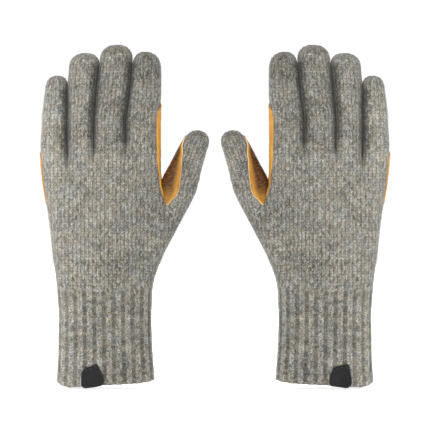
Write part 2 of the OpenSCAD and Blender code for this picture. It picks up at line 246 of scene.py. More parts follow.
def section(k, z):
    """Points (x, depth) across each row of a digit and of the hand below it, by height."""
    half_turn = np.linspace(0, np.pi, SECTION_POINTS)
    z = z[:, None]
    outer = EDGES[0](z)
    inner = EDGES[1](z)
    far = EDGES[5](z)
    left, right = EDGES[k](z), EDGES[k + 1](z)
    # Neighbouring fingers press lightly together.
    if k > INDEX:
        left = left - PRESS * smooth((z - CROTCH[k - 1]) / 8)
    if INDEX <= k < LITTLE:
        right = right + PRESS * smooth((z - CROTCH[k]) / 8)
    x = (left + right) / 2 - (right - left) / 2 * np.cos(half_turn)
    wide = oval(x, outer, far, HALF_DEPTH(z), HAND_POWER)
    own = oval(x, left, right, HALF_DIGIT[k], FINGER_POWER)
    apart = np.clip((z - THUMB_START) / (CROTCH[0] - THUMB_START), 0, 1) ** 3
    if k == THUMB:
        return x, wide + (own - wide) * apart
    hand = wide + (oval(x, inner, far, HALF_DEPTH(z), HAND_POWER) - wide) * apart
    crotches = (CROTCH[max(k - 1, 1)], CROTCH[min(k, 3)])
    left_groove, right_groove = (np.clip((z - c + GROOVE) / GROOVE, 0, 1) ** 3 for c in crotches)
    groove = left_groove + (right_groove - left_groove) * (x - left) / (right - left)
    return x, hand + (own - hand) * groove


def tube_section(s):
    """Points (x, depth) across the thumb at each distance along it."""
    half = THUMB_HALF(s)[:, None]
    x = -half * np.cos(np.linspace(0, np.pi, SECTION_POINTS))
    return x, oval(x, -half, half, HALF_DIGIT[THUMB], THUMB_POWER)


def resample(x, depth, n):
    """n cells across a row, closer together where it faces the camera. Gives x, depth and arc length."""
    step = np.hypot(np.diff(x), np.diff(depth))
    weight = 0.5 * step + 0.5 * np.abs(np.diff(x))
    along = np.concatenate([[0], np.cumsum(step)])
    measure = np.concatenate([[0], np.cumsum(weight)])
    at = np.linspace(0, measure[-1], n + 1)
    middle = np.interp((x[0] + x[-1]) / 2, x, along)
    return np.interp(at, measure, x), np.interp(at, measure, depth), np.interp(at, measure, along) - middle


def thumb_place(s):
    """The middle of the thumb, u and z, at a distance along it."""
    centre = (EDGES[0](CROTCH[0]) + EDGES[1](CROTCH[0])) / 2
    return centre - s * math.sin(THUMB_TILT), CROTCH[0] + s * math.cos(THUMB_TILT)


def back_of_digit(k):
    """Grid of the base surface on a digit's back and its share of the hand, with its stitches' places."""
    rows = digit_rows(k)
    z, inset, size, s = rows.T
    n = COLUMNS[k]
    x, depth = section(k, z)
    tube = s > 0
    if tube.any():
        x[tube], depth[tube] = tube_section(np.minimum(s[tube], TIP[k] - DOME[k]))
    shape = np.array([resample(a, b, n) for a, b in zip(x, depth)])
    x, depth, arc = shape[:, 0], shape[:, 1], shape[:, 2]
    middle = (x[:, :1] + x[:, -1:]) / 2
    x = middle + (x - middle) * size[:, None] + TIP_SHIFT[k] * (1 - size[:, None])
    depth = depth * size[:, None]
    # The hem's inner wall is a smaller copy of the whole ring.
    ring = ((EDGES[0](z) + EDGES[5](z)) / 2)[:, None]
    x = ring + (x - ring) * (1 - inset[:, None] / HEM_HALF[0])
    depth = depth * (1 - inset[:, None] / HEM_HALF[1])
    height = np.repeat(z[:, None], n + 1, axis=1)
    height = height + HEM_LIFT(x) * np.clip(1 - height / HEM_FADE, 0, 1) ** 2
    u = x
    if tube.any():
        lean = THUMB_TILT * smooth(s / THUMB_TURN)[:, None]
        u_middle, z_middle = thumb_place(np.maximum(s, 0)[:, None])
        u = np.where(tube[:, None], u_middle + x * np.cos(lean), x)
        height = np.where(tube[:, None], z_middle + x * np.sin(lean), height)
    points = stack(u, -depth, height)
    return points, rows, stitch_columns(k, rows, arc), stitch_rows(rows)


def between_fingers(k, grid_points, rows):
    """How far down between two fingers each point of a finger's back lies, from 0 to 1, as the strength of
    the painted shade there.
    """
    z = rows[:, :1]
    x = grid_points[..., 0]
    total = np.zeros(x.shape)
    for edge, neighbour, reach in zip((k, k + 1), (k - 1, k + 1), SHADE_REACH):
        if k == THUMB or edge in (INDEX, LITTLE + 1):
            continue
        top = min(TIP[k], TIP[neighbour]) - 6
        rise = smooth((z - CROTCH[edge - 1] + 14) / 26) * (1 - smooth((z - top + 8) / 10))
        total = np.maximum(total, rise * np.exp(-(((x - EDGES[edge](z)) / reach) ** 2)))
    return total


def stitch_columns(k, rows, arc):
    """The stitch column of each grid point: straight up the hand, then along each digit's own middle."""
    z, s = rows[:, 0], rows[:, 3]
    middle = (EDGES[k](z) + EDGES[k + 1](z)) / 2
    if k > THUMB:
        anchor = (EDGES[k](np.minimum(z, START[k])) + EDGES[k + 1](np.minimum(z, START[k]))) / 2
        return (anchor[:, None] + arc) / WALE
    follow = smooth((z - 118) / 45)
    turning = middle[0] + np.cumsum(np.diff(middle, prepend=middle[0]) * (1 - follow))
    plain = (middle[:, None] + arc) / WALE
    own = (turning[:, None] + arc) / WALE
    share = np.linspace(0, 1, arc.shape[1])[None, :]
    blend = np.where(s[:, None] > 0, 1.0, smooth((1 - share) / 0.5))
    return plain + (own - plain) * blend


def stitch_rows(rows):
    """The stitch row at each mesh row."""
    z, s = rows[:, 0], rows[:, 3]
    return (z + np.maximum(s, 0)) / COURSE


# ---- Knitting ----


def plain_stitch(wale, course):
    """Height from 0 to 1 of plain knitting: two slanting legs to a stitch, and grooves between columns."""
    leg = np.abs(wale - np.floor(wale) - 0.5)
    across = smooth(1 - np.abs(leg - 0.21) / 0.27) + 0.4 * smooth(1 - leg / 0.2)
    across += 0.45 * smooth((leg - 0.3) / 0.15) * (0.5 + 0.5 * np.cos(2 * np.pi * (course - 0.35)))
    along = 0.5 + 0.5 * np.cos(2 * np.pi * (course - LEG_LEAN * leg))
    return np.clip(across * (0.25 + 0.75 * along), 0, 1)


def leg_number(wale, course):
    """The stitch leg that a point lies on, as two whole numbers."""
    part = wale - np.floor(wale) - 0.5
    return 2 * np.floor(wale) + (part > 0), np.floor(course - LEG_LEAN * np.abs(part) + 0.5)


def rib_coordinates(across):
    """The stitch column on a rib, and how far into the groove between ribs, from 0 to 1."""
    phase = across * RIBS_ACROSS
    part = phase - np.floor(phase) - 0.5
    groove = smooth((np.abs(part) - 0.24) / 0.17)
    return np.floor(phase) + 0.5 + part * 1.25, groove


def knit_grid(k, across):
    """All that the knitting of one digit needs, on a grid of mesh rows and columns."""
    points, rows, wale, course = back_of_digit(k)
    course = np.repeat(course[:, None], points.shape[1], axis=1)
    ribbed = 1 - smooth((rows[:, :1] - RIB_TOP + 3) / 8)
    rib_wale, groove = rib_coordinates(across)
    # Yarn is never even: the columns and rows wander a little.
    wander = 0.14 * noise(points + 300, 9.0) + 0.1 * noise(points + 500, 3.1)
    course = course + wander
    plain = plain_stitch(wale + 0.5 * wander, course) * STITCH
    rib_course = course * 1.04
    bars = 0.5 + 0.5 * np.cos(4 * np.pi * rib_course)
    rib_plain = plain_stitch(rib_wale, rib_course)
    rib = (rib_plain * RIB_STITCH + 0.2) * (1 - groove) + (0.2 * bars - RIB_DEPTH) * groove
    height = plain + (rib - plain) * ribbed - 0.3
    height += 0.12 * noise(points + 90, 2.2) + 0.28 * noise(points, 17.0)
    height *= smooth(rows[:, 2:3] / 0.35)
    height *= 0.3 + 0.7 * np.where(rows[:, 1:2] > 0, 0.0, smooth((rows[:, :1] - 1) / 8))
    mixed_wale = np.where(ribbed > 0.5, rib_wale * 1.7, wale)
    leg, loop = leg_number(mixed_wale, course)
    shade = 0.5 + 0.22 * (scatter(leg, loop, 5.0) - 0.5) + 0.16 * noise(points + 700, (1.0, 1.0, 1.5))
    # The yarn's own tone drifts along its rows. Painted light makes the glove paler towards the little
    # finger's side, and painted shade makes it darker up the fingers.
    shade += 0.05 * noise(points + 20, (22.0, 60.0, 6.0)) + 0.05 * noise(points + 60, 18.0)
    shade += 0.07 * np.clip(points[..., 0] / 50, -1, 1) - 0.05 * smooth((points[..., 2] - 190) / 50)
    # Low open values put painted shade down between the stitches and in the grooves between ribs.
    rib_open = (rib_plain + 0.08) * (1 - groove) + (0.05 + 0.2 * bars) * groove
    low = np.clip(plain / 0.5 + (rib_open - plain / 0.5) * ribbed, 0, 1)
    # Painted shade darkens the wool down between neighbouring fingers.
    shade = shade - 0.4 * between_fingers(k, points, rows) * (1 + 0.25 * noise(points + 5, 1.6))
    return {"points": points, "rows": rows, "height": height, "shade": shade, "open": low,
            "wale": mixed_wale, "course": course}


def whole_hand():
    """The knitted base grids of all five digits. Each carries its share of the hand and cuff below it."""
    shapes = [back_of_digit(k)[0] for k in range(5)]
    lengths = []
    for points in shapes:
        step = np.hypot(np.diff(points[..., 0], axis=1), np.diff(points[..., 1], axis=1))
        lengths.append(np.concatenate([np.zeros((len(points), 1)), np.cumsum(step, axis=1)], axis=1))
    shared = min(len(points) for points in shapes)
    total = sum(length[:shared, -1] for length in lengths)
    grids, before = [], np.zeros(shared)
    for k, length in enumerate(lengths):
        across = np.zeros(length.shape)
        across[:shared] = (before[:, None] + length[:shared]) / total[:, None]
        before = before + length[:shared, -1]
        grids.append(knit_grid(k, across))
    return grids


def quads(start, rows, columns, flip):
    """Faces of a grid of points, row by row, whose first point has this number."""
    index = start + np.arange(rows * columns).reshape(rows, columns)
    a, b, c, d = index[:-1, :-1], index[:-1, 1:], index[1:, 1:], index[1:, :-1]
    order = (d, c, b, a) if flip else (a, b, c, d)
    return stack(*order).reshape(-1, 4)


def weld(points, faces):
    """Joins points at the same place. Gives the new points, faces, and each old point's new number."""
    key = np.round(points * 500).astype(np.int64)
    key = (key[:, 0] * 2_000_003 + key[:, 1]) * 2_000_003 + key[:, 2]
    _, first, number = np.unique(key, return_index=True, return_inverse=True)
    number = number.reshape(-1)
    return points[first], number[faces], number, first


def unit(vectors):
    return vectors / np.maximum(np.linalg.norm(vectors, axis=-1, keepdims=True), 1e-9)


def normals_of(points, faces):
    """Smooth outward directions at each point."""
    p = points[faces]
    normal = np.cross(p[:, 2] - p[:, 0], p[:, 3] - p[:, 1])
    total = np.zeros_like(points)
    for axis in range(3):
        for corner in range(4):
            total[:, axis] += np.bincount(faces[:, corner], normal[:, axis], len(points))
    return unit(total)


def build_surface():
    """The welded base surface of one glove, and its digits' grids with the directions of both faces."""
    grids = whole_hand()
    points, faces, labels, start = [], [], [], 0
    values = {name: [] for name in ("height", "shade", "open", "wale", "course")}
    for k, grid in enumerate(grids):
        for face in (1, -1):
            p = grid["points"] * (1, face, 1)
            points.append(p.reshape(-1, 3))
            faces.append(quads(start, *p.shape[:2], face < 0))
            labels.append(knit_labels(k, grid, face))
            for name, parts in values.items():
                shift = PALM_STITCHES if face < 0 and name in ("wale", "course") else 0.0
                parts.append((grid[name] + shift).reshape(-1))
            start += p.shape[0] * p.shape[1]
    points = np.concatenate(points)
    faces = np.concatenate(faces)
    labels = np.concatenate(labels)
    values = {name: np.concatenate(parts) for name, parts in values.items()}
    points, faces, number, first = weld(points, faces)
    normals = normals_of(points, faces)
    start = 0
    for grid in grids:
        for name in ("back_normals", "palm_normals"):
            shape = grid["points"].shape
            count = shape[0] * shape[1]
            grid[name] = normals[number[start : start + count]].reshape(shape)
            start += count
    values = {name: value[first] for name, value in values.items()}
    return grids, points, faces, normals, labels, values


def row_ends(k, rows):
    """The piece that each mesh row's faces belong to: 0 cuff, 1 hand, 2 base of the digit, 3 its tip."""
    z, s = rows[:, 0], rows[:, 3]
    middle = (z[:-1] + z[1:]) / 2
    if k == THUMB:
        along = (s[:-1] + s[1:]) / 2
        piece = np.where(s[1:] > 0, np.where(along > FOLD_AT[k] - MIDDLE_BEND + 2, 3, 2), 1)
    else:
        piece = np.where(middle > FOLD_AT[k] - MIDDLE_BEND, 3, np.where(middle > START[k], 2, 1))
    return np.where((middle < CUFF_TOP) & (s[1:] <= 0), 0, piece)


def knit_labels(k, grid, face):
    """A number for each face: 0 cuff, 1 hand, else 10 times the digit plus the piece. -1 under leather."""
    rows = grid["rows"]
    piece = row_ends(k, rows)
    label = np.where(piece < 2, piece, 10 * k + piece)
    label = np.repeat(label[:, None], COLUMNS[k], axis=1)
    if face < 0:
        low, high = leather_span(k, grid, False)
        if k <= INDEX:
            free = leather_span(k, grid, True)
            low, high = np.where(np.isfinite(low), low, free[0]), np.where(np.isfinite(high), high, free[1])
        column = np.arange(COLUMNS[k])[None, :] + 0.5
        near = np.where(-high < 0.5, -1.0, -high + UNDER_LEATHER)[1:, None]
        far = np.where(low <= -COLUMNS[k] + 0.5, COLUMNS[k] + 1.0, -low - UNDER_LEATHER)[1:, None]
        hidden = (column > near) & (column < far) & np.isfinite(low[1:, None])
        start = (rows[1:, 0] > PALM_LOW + 5)[:, None]
        end = np.isfinite(np.roll(low, -8))[1:, None]
        label = np.where(hidden & start & end, -1, label)
    return label.reshape(-1)


# ---- Leather ----

# Where its edge shows on the back: beside the index finger, and up the thumb, first in the hand's frame
# and then across the thumb by the distance along it.
INDEX_SEAM = line([(NOTCH, -52.2), (156, -50.6), (163.6, -47.6), (170, -45.9), (179, -44.8), (192, -43.7),
                   (212, -43.1), (225, -43.3), (233, -44.6), (238, -45.6)], 1.5)
THUMB_SEAM_LOW = line([(NOTCH, -52.4), (157, -55.2), (161, -59.3), (166, -61.6), (170.5, -62.3),
                       (176, -62.9)], 2.5)
THUMB_SEAM = line([(-6, -2.0), (0, -0.1), (6, 1.5), (11, 2.8), (18, 5.3), (25, 7.0), (30, 9.2), (34, 10.1),
                   (44, 9.9)], 2.0)
THUMB_SIDE = -50.0  # its raw edge shows on the back of the glove at lower u than this
LITTLE_STRIP = (150.0, 202.0)  # heights between which it shows beside the little finger
HIDDEN = 6  # columns between a leather edge that the back does not show and the outline


def column_at(x, values):
    """The fractional column of each row where its points reach a value."""
    steps = np.arange(x.shape[1])
    return np.array([np.interp(v, row, steps) for row, v in zip(x, values)])


def leather_span(k, grid, free):
    """Where the leather begins and ends round a digit, per row, in columns: 0 to -n across the palm side,
    0 to n across the back. Rows with no leather hold NaN. Free means the part that is clear of the palm."""
    points, rows = grid["points"], grid["rows"]
    z, s = rows[:, 0], rows[:, 3]
    n = COLUMNS[k]
    x = points[..., 0]
    # Rounded lower corners of the palm.
    rise = np.clip(PALM_LOW + PALM_CORNER - z, 0, PALM_CORNER)
    corner = PALM_CORNER - np.sqrt(PALM_CORNER**2 - rise**2)
    high = -np.maximum(column_at(x, EDGES[0](z) + 2.2 + corner), 1.5 * HIDDEN if k == THUMB else 0)
    low = -np.minimum(column_at(x, EDGES[5](z) - 1.0 - corner), n)
    if k == THUMB and free:
        high = np.full(len(z), -1.5 * HIDDEN)
        inner = -2 * n + seam_on_thumb(grid)
        low = inner + (HIDDEN - n - inner) * smooth((s - 38) / 6)
    if k == INDEX and free:
        strip = column_at(x, INDEX_SEAM(z))
        high = strip - (strip + HIDDEN) * smooth((z - 232) / 9)
    elif k > INDEX:
        high = high - HIDDEN * smooth((z - CROTCH[k - 1]) / 8)
    if INDEX <= k < LITTLE:
        low = low + HIDDEN * smooth((z - CROTCH[k]) / 8)
    if k == LITTLE:
        shown = smooth((z - LITTLE_STRIP[0]) / 9) * (1 - smooth((z - LITTLE_STRIP[1] + 9) / 9))
        wrap = n - column_at(x, EDGES[5](z) - 0.45)
        strip = HIDDEN - n - shown * (wrap + HIDDEN)
        low = np.where(z > PALM_LOW + PALM_CORNER, strip, np.maximum(low, HIDDEN - n))
    # Rounded upper end.
    along, end = (s, TIP[k] - 3.5) if k == THUMB else (z, TIP[k] - 4.0)
    run = np.clip((along - end + LEATHER_END) / LEATHER_END, 0, 1)
    middle = -n / 2
    keep = np.sqrt(1 - run**2)
    low, high = middle + (low - middle) * keep, middle + (high - middle) * keep
    over = (s > -0.5) | (z > CROTCH[0] + 0.01)
    if k <= INDEX:
        none = ~over & (z < CROTCH[0] - 0.01) if free else over
    else:
        none = np.zeros(len(z), bool)
    none = none | (z < PALM_LOW - 0.01) | (rows[:, 1] > 0) | (along > end)
    low[none] = np.nan
    high[none] = np.nan
    return low, high


def seam_on_thumb(grid):
    """Column of the seam on the back of the thumb, for each row."""
    points, rows = grid["points"], grid["rows"]
    s = rows[:, 3]
    across = np.linalg.norm(points[:, :, (0, 2)] - points[:, :1, (0, 2)], axis=2)
    half = across[:, -1] / 2
    return column_at(across - half[:, None], THUMB_SEAM(s))


def between(values, row, first, part):
    """Values of a grid partway from one column to the next."""
    return values[row, first] * (1 - part) + values[row, first + 1] * part


def ring_value(back, palm, rows, column):
    """Values of the base surface's two faces at fractional columns round the ring."""
    n = back.shape[1] - 1
    place = np.where(column < -n, column + 2 * n, np.abs(column))
    on_back = (column > 0) | (column < -n)
    first = np.clip(np.floor(place).astype(int), 0, n - 1)
    part = (place - first)[..., None]
    r = rows[:, None]
    return np.where(on_back[..., None], between(back, r, first, part), between(palm, r, first, part))


def leather_grid(k, grid, free):
    """Places, directions and faces' pieces of one digit's leather, or of its share of the palm."""
    low, high = leather_span(k, grid, free)
    rows = np.flatnonzero(np.isfinite(low))
    if not (free and k == THUMB):
        # Every second row is enough here. Neighbouring digits keep the same ones.
        crotch_row = int(np.argmin(np.abs(grid["rows"][:, 0] - CROTCH[0])))
        rows = rows[(rows - crotch_row) % 2 == 0]
    count = int(COLUMNS[k] * LEATHER_CELLS)
    share = np.linspace(0, 1, count + 1)[None, :]
    column = high[rows, None] + (low - high)[rows, None] * share
    p = ring_value(grid["points"], grid["points"] * (1, -1, 1), rows, column)
    n = ring_value(grid["back_normals"], grid["palm_normals"], rows, column)
    piece = row_ends(k, grid["rows"])
    piece = np.append(piece, piece[-1])[rows]
    label = np.where(piece[:-1] < 2, 1, 10 * k + piece[:-1])
    return p, n, np.repeat(label[:, None], count, axis=1), leather_shade(k, free, grid, rows, column)


def leather_shade(k, free, grid, rows, column):
    """Painted shade on the leather, from 0 to 1, dark and wrinkled: only the thumb's, facing the index
    finger, has it.
    """
    if k != THUMB or not free:
        return np.zeros(column.shape)
    n = COLUMNS[k]
    seam = seam_on_thumb(grid)[rows, None]
    place = np.where(column < -n, column + 2 * n, n)
    inward = np.clip((place - seam) / (n - seam), 0, 1)
    fade = 1 - 0.35 * smooth((grid["rows"][rows, 3:4] - 22) / 20)
    behind = 1 - smooth((column + n - 4) / 18)
    return crease_shade(inward) * fade * behind


def crease_shade(inward):
    """Painted shade of the thumb's leather from its seam, 0, to the crease, 1, with a thin painted dark line
    just inside the seam.
    """
    edge = 1 - smooth(np.abs(inward - 0.035) / 0.045)
    return np.maximum(0.25 + 0.75 * smooth((inward - 0.05) / 0.34), 0.9 * edge)


def web_grid(grids):
    """The leather's V between thumb and index finger, on the back of the hand below their crotch."""
    thumb, index = grids[THUMB], grids[INDEX]
    z = thumb["rows"][:, 0]
    rows = np.flatnonzero((z > NOTCH) & (thumb["rows"][:, 1] == 0) & (thumb["rows"][:, 3] <= 0))
    p, n = (np.concatenate([thumb[name][rows], index[name][rows][:, 1:]], axis=1)
            for name in ("points", "back_normals"))
    x = p[..., 0]
    start = column_at(x, THUMB_SEAM_LOW(z[rows]))
    end = column_at(x, INDEX_SEAM(z[rows]))
    end = np.maximum(end, start + 0.01)
    column = start[:, None] + (end - start)[:, None] * np.linspace(0, 1, WEB_CELLS + 1)[None, :]
    first = np.clip(np.floor(column).astype(int), 0, x.shape[1] - 2)
    part = (column - first)[..., None]
    r = np.arange(len(rows))[:, None]
    crossing = column_at(x, EDGES[1](z[rows]))[:, None]
    # Painted shade in the V: dark towards the crease and stopping past the index finger's edge, with a
    # painted dark fold line along that edge.
    inward = np.clip((column - start[:, None]) / np.maximum(crossing - start[:, None], 1), 0, 1)
    beyond = smooth((column - crossing - 0.6) / 2.0)
    rise = smooth((z[rows, None] - NOTCH - 2) / 16)
    fold = (1 - smooth(np.abs(column - crossing) / 2.4)) * smooth((z[rows, None] - NOTCH) / 3)
    shade = np.maximum(crease_shade(inward) * (0.5 + 0.5 * rise) * (1 - beyond), fold)
    label = np.full((len(rows) - 1, WEB_CELLS), 1)
    return between(p, r, first, part), between(n, r, first, part), label, shade


def crease(points):
    """Height of the leather's wrinkles at these places."""
    slant = points @ np.array([[0.80, 0.0, 0.60], [0.0, 1.0, 0.0], [-0.60, 0.0, 0.80]])
    wave = noise(slant + 40, (7.0, 5.0, 1.7))
    fine = noise(slant * (1, 1, 1.2) + 10, (3.2, 3.0, 0.9))
    return 0.22 * wave + 0.12 * fine + 0.35 * noise(points + 8, 14.0)


def sewn_leather(grids):
    """One glove's leather before it has a thickness: points, directions, faces, labels and shades."""
    parts = [leather_grid(k, grid, False) for k, grid in enumerate(grids)]
    parts += [leather_grid(k, grids[k], True) for k in (THUMB, INDEX)] + [web_grid(grids)]
    points, normals = (np.concatenate([part[i].reshape(-1, 3) for part in parts]) for i in (0, 1))
    labels, shades = (np.concatenate([part[i].reshape(-1) for part in parts]) for i in (2, 3))
    faces, start = [], 0
    for p, *_ in parts:
        faces.append(quads(start, *p.shape[:2], True))
        start += p.shape[0] * p.shape[1]
    # The web's columns run the other way from the rings'.
    faces[-1] = faces[-1][:, ::-1]
    points, faces, _, first = weld(points, np.concatenate(faces))
    shade = shades[first]
    normals = unit(normals[first])
    p = points[faces]
    area = np.linalg.norm(np.cross(p[:, 2] - p[:, 0], p[:, 3] - p[:, 1]), axis=1)
    return points, normals, faces[area > 1e-4], labels[area > 1e-4], shade


def open_sides(points, faces, labels):
    """The sides that only one face uses, but for those at the thumb's crotch, and their faces' labels."""
    sides = stack(faces, np.roll(faces, -1, axis=1)).reshape(-1, 2)
    sides_label = np.repeat(labels, 4)
    real = sides[:, 0] != sides[:, 1]
    sides, sides_label = sides[real], sides_label[real]
    ordered = np.sort(sides, axis=1)
    key = ordered[:, 0].astype(np.int64) * len(points) + ordered[:, 1]
    _, inverse, used = np.unique(key, return_inverse=True, return_counts=True)
    at_crotch = np.all(np.abs(points[sides][:, :, 2] - CROTCH[0]) < 0.01, axis=1)
    single = (used[inverse.reshape(-1)] == 1) & ~at_crotch
    return sides[single], sides_label[single]


def leather_mesh(grids):
    """One glove's leather with its cut edges: points, faces, labels, which faces are raw, and shades."""
    points, normals, faces, labels, shade = sewn_leather(grids)
    # Every open side is carried down to the knitting.
    sides, sides_label = open_sides(points, faces, labels)
    top = points + normals * (LEATHER + crease(points))[:, None]
    edge = np.unique(sides)
    lower = np.full(len(points), -1)
    lower[edge] = len(points) + np.arange(len(edge))
    tangent = points[sides[:, 1]] - points[sides[:, 0]]
    outward = np.cross(tangent, normals[sides[:, 0]])
    spread = np.zeros_like(points)
    for corner in (0, 1):
        np.add.at(spread, sides[:, corner], outward)
    bottom = top[edge] - normals[edge] * LEATHER_EDGE + unit(spread[edge]) * 0.5
    rim = stack(sides[:, 1], sides[:, 0], lower[sides[:, 0]], lower[sides[:, 1]])
    # Only the edge that runs up the thumb shows its pale raw side; the others are turned and stay golden.
    pale = (points[sides[:, 0], 0] < THUMB_SIDE) & (points[sides[:, 0], 1] < 0)
    cut = np.concatenate([np.zeros(len(faces), int), pale.astype(int)])
    shade = np.concatenate([shade, shade[edge]])
    labels = np.concatenate([labels, sides_label])
    return np.concatenate([top, bottom]), np.concatenate([faces, rim]), labels, cut, shade


# ---- Materials ----


def material(name):
    made = bpy.data.materials.new(name)
    made.use_nodes = True
    return made, made.node_tree, made.node_tree.nodes["Principled BSDF"]


def connect(tree, socket, value):
    """Gives a socket a number, a vector or a colour, or links it to a tuple (node, output)."""
    if isinstance(value, tuple) and hasattr(value[0], "outputs"):
        tree.links.new(value[0].outputs[value[1]], socket)
    elif socket.type == "RGBA":
        socket.default_value = (*value, 1)
    else:
        socket.default_value = value


def add(tree, kind, **inputs):
    """A new node with its inputs given by name."""
    node = tree.nodes.new(kind)
    for name, value in inputs.items():
        connect(tree, node.inputs[name], value)
    return node


def ramp(tree, source, output, stops):
    node = add(tree, "ShaderNodeValToRGB", Fac=(source, output))
    elements = node.color_ramp.elements
    while len(elements) < len(stops):
        elements.new(0.5)
    for element, (at, colour) in zip(elements, stops):
        element.position = at
        element.color = (*colour, 1)
    return node


def mix(tree, kind, fac, a, b):
    """A node that mixes two colours."""
    node = tree.nodes.new("ShaderNodeMix")
    node.data_type = "RGBA"
    node.blend_type = kind
    for number, value in ((0, fac), (6, a), (7, b)):
        connect(tree, node.inputs[number], value)
    return node


def maths(tree, operation, *values):
    """A node for one operation on numbers."""
    node = tree.nodes.new("ShaderNodeMath")
    node.operation = operation
    for socket, value in zip(node.inputs, values):
        connect(tree, socket, value)
    return node


def noise_node(tree, vector, scale, detail, roughness):
    return add(tree, "ShaderNodeTexNoise", Vector=vector, Scale=scale, Detail=detail, Roughness=roughness)


def settle(shader, **values):
    """Sets a shader's own sockets by name."""
    for name, value in values.items():
        shader.inputs[name.replace("_", " ")].default_value = value


def cover(tree, shader, colour, bump):
    """Links a shader to the nodes of its colour and its bump."""
    connect(tree, shader.inputs["Base Color"], (colour, 2))
    connect(tree, shader.inputs["Normal"], (bump, 0))


def attribute(tree, name):
    node = tree.nodes.new("ShaderNodeAttribute")
    node.attribute_name = name
    return node


def wool():
    """Grey melange wool: light, dark, beige and greenish fibres, with painted shade down between the
    stitches.
    """
    made, tree, shader = material("melange wool")
    shade, low, yarn = attribute(tree, "shade"), attribute(tree, "open"), attribute(tree, "yarn")
    where = (add(tree, "ShaderNodeTexCoord"), "Object")
    fibre = noise_node(tree, (yarn, "Vector"), 2.9, 4.0, 0.8)
    # Tone is the yarn's own shade plus twice its fibres' difference from the middle.
    fibres = maths(tree, "MULTIPLY_ADD", (fibre, "Fac"), 2.0, -1.0)
    tone = maths(tree, "ADD", (fibres, "Value"), (shade, "Fac"))
    grey = ramp(tree, tone, "Value", [
        (0.05, (0.028, 0.027, 0.024)),
        (0.30, (0.105, 0.101, 0.092)),
        (0.50, (0.225, 0.218, 0.202)),
        (0.72, (0.385, 0.375, 0.352)),
        (0.92, (0.62, 0.605, 0.57)),
    ])
    drift = noise_node(tree, where, 110.0, 7.0, 0.75)
    tint = ramp(tree, drift, "Fac", [
        (0.34, (0.86, 0.93, 1.0)),
        (0.47, (0.97, 0.98, 0.96)),
        (0.56, (1.0, 0.94, 0.83)),
        (0.66, (0.94, 0.96, 0.80)),
    ])
    tinted = mix(tree, "MULTIPLY", 0.9, (grey, "Color"), (tint, "Color"))
    # Painted shade where the open value is low, down between the stitches and ribs.
    painted_cavity_shade = ramp(tree, low, "Fac", [
        (0.0, (0.40, 0.385, 0.355)),
        (0.55, (0.84, 0.835, 0.82)),
        (1.0, (1.0, 1.0, 1.0)),
    ])
    final = mix(tree, "MULTIPLY", 1.0, (tinted, 2), (painted_cavity_shade, "Color"))
    fuzz = noise_node(tree, where, 2600.0, 3.0, 0.7)
    bump = add(tree, "ShaderNodeBump", Height=(fuzz, "Fac"), Strength=0.55, Distance=0.0004)
    cover(tree, shader, final, bump)
    settle(shader, Roughness=0.95, Specular_IOR_Level=0.15, Sheen_Weight=0.25, Sheen_Roughness=0.5)
    return made


def hide(name, dark, middle, light, roughness, scale=900.0):
    """Leather with a fine grain, and a colour that wanders between three tones."""
    made, tree, shader = material(name)
    where = (add(tree, "ShaderNodeTexCoord"), "Object")
    patches = noise_node(tree, where, 70.0, 6.0, 0.6)
    tone = ramp(tree, patches, "Fac", [(0.28, dark), (0.5, middle), (0.72, light)])
    grain = add(tree, "ShaderNodeTexVoronoi", Vector=where, Scale=scale)
    pores = ramp(tree, grain, "Distance", [(0.0, (1.0, 1.0, 1.0)), (0.75, (0.8, 0.78, 0.75))])
    final = mix(tree, "MULTIPLY", 0.8, (tone, "Color"), (pores, "Color"))
    bump = add(tree, "ShaderNodeBump", Height=(grain, "Distance"), Strength=0.35, Distance=0.0003)
    bump.invert = True
    cover(tree, shader, final, bump)
    settle(shader, Roughness=roughness, Specular_IOR_Level=0.25)
    return made


def golden():
    """Soft golden deerskin, with painted shade and fine dark wrinkle lines where the shade value is high."""
    made = hide("golden leather", (0.40, 0.175, 0.020), (0.51, 0.245, 0.030), (0.62, 0.32, 0.046), 0.5)
    tree, shader = made.node_tree, made.node_tree.nodes["Principled BSDF"]
    colour = shader.inputs["Base Color"].links[0].from_socket
    grain = shader.inputs["Normal"].links[0].from_socket
    shade, where = attribute(tree, "shade"), (add(tree, "ShaderNodeTexCoord"), "Object")
    slant, scale = (0, 0.6, 0), (220, 260, 900)
    turned = add(tree, "ShaderNodeMapping", Vector=where, Rotation=slant, Scale=scale)
    lines = noise_node(tree, (turned, "Vector"), 1.0, 3.0, 0.6)
    # The colours of the painted shade: dark browns broken by slanting wrinkle lines.
    dark = ramp(tree, lines, "Fac", [
        (0.36, (0.05, 0.03, 0.02)),
        (0.5, (0.13, 0.085, 0.055)),
        (0.64, (0.27, 0.2, 0.15)),
    ])
    painted_crease_shade = mix(tree, "MULTIPLY", (shade, "Fac"), (1.0, 1.0, 1.0), (dark, "Color"))
    final = mix(tree, "MULTIPLY", 1.0, (painted_crease_shade, 2), (1.0, 1.0, 1.0))
    # The plain leather's own colour takes the place of that white.
    tree.links.new(colour, final.inputs[7])
    bump = add(tree, "ShaderNodeBump", Height=(lines, "Fac"), Strength=0.5, Distance=0.0006)
    tree.links.new(grain, bump.inputs["Normal"])
    cover(tree, shader, final, bump)
    return made


WOOL = wool()
PALM = golden()
CUT = hide("cut leather edge", (0.50, 0.30, 0.12), (0.62, 0.42, 0.21), (0.72, 0.53, 0.31), 0.9)
BLACK = hide(
    "black leather", (0.005, 0.005, 0.0055), (0.009, 0.009, 0.0095), (0.016, 0.016, 0.016), 0.75, 1400.0
)
THREAD = hide("black thread", (0.02, 0.02, 0.02), (0.035, 0.035, 0.035), (0.05, 0.05, 0.05), 0.9, 3000.0)


# ---- Meshes ----


def to_world(points, side):
    """From one glove's own frame in millimetres to the shared frame in metres."""
    sign = SIDES[side]
    placed = points * (sign, 1, 1)
    placed[:, 0] += sign * HALF_PAIR
    return placed * MM


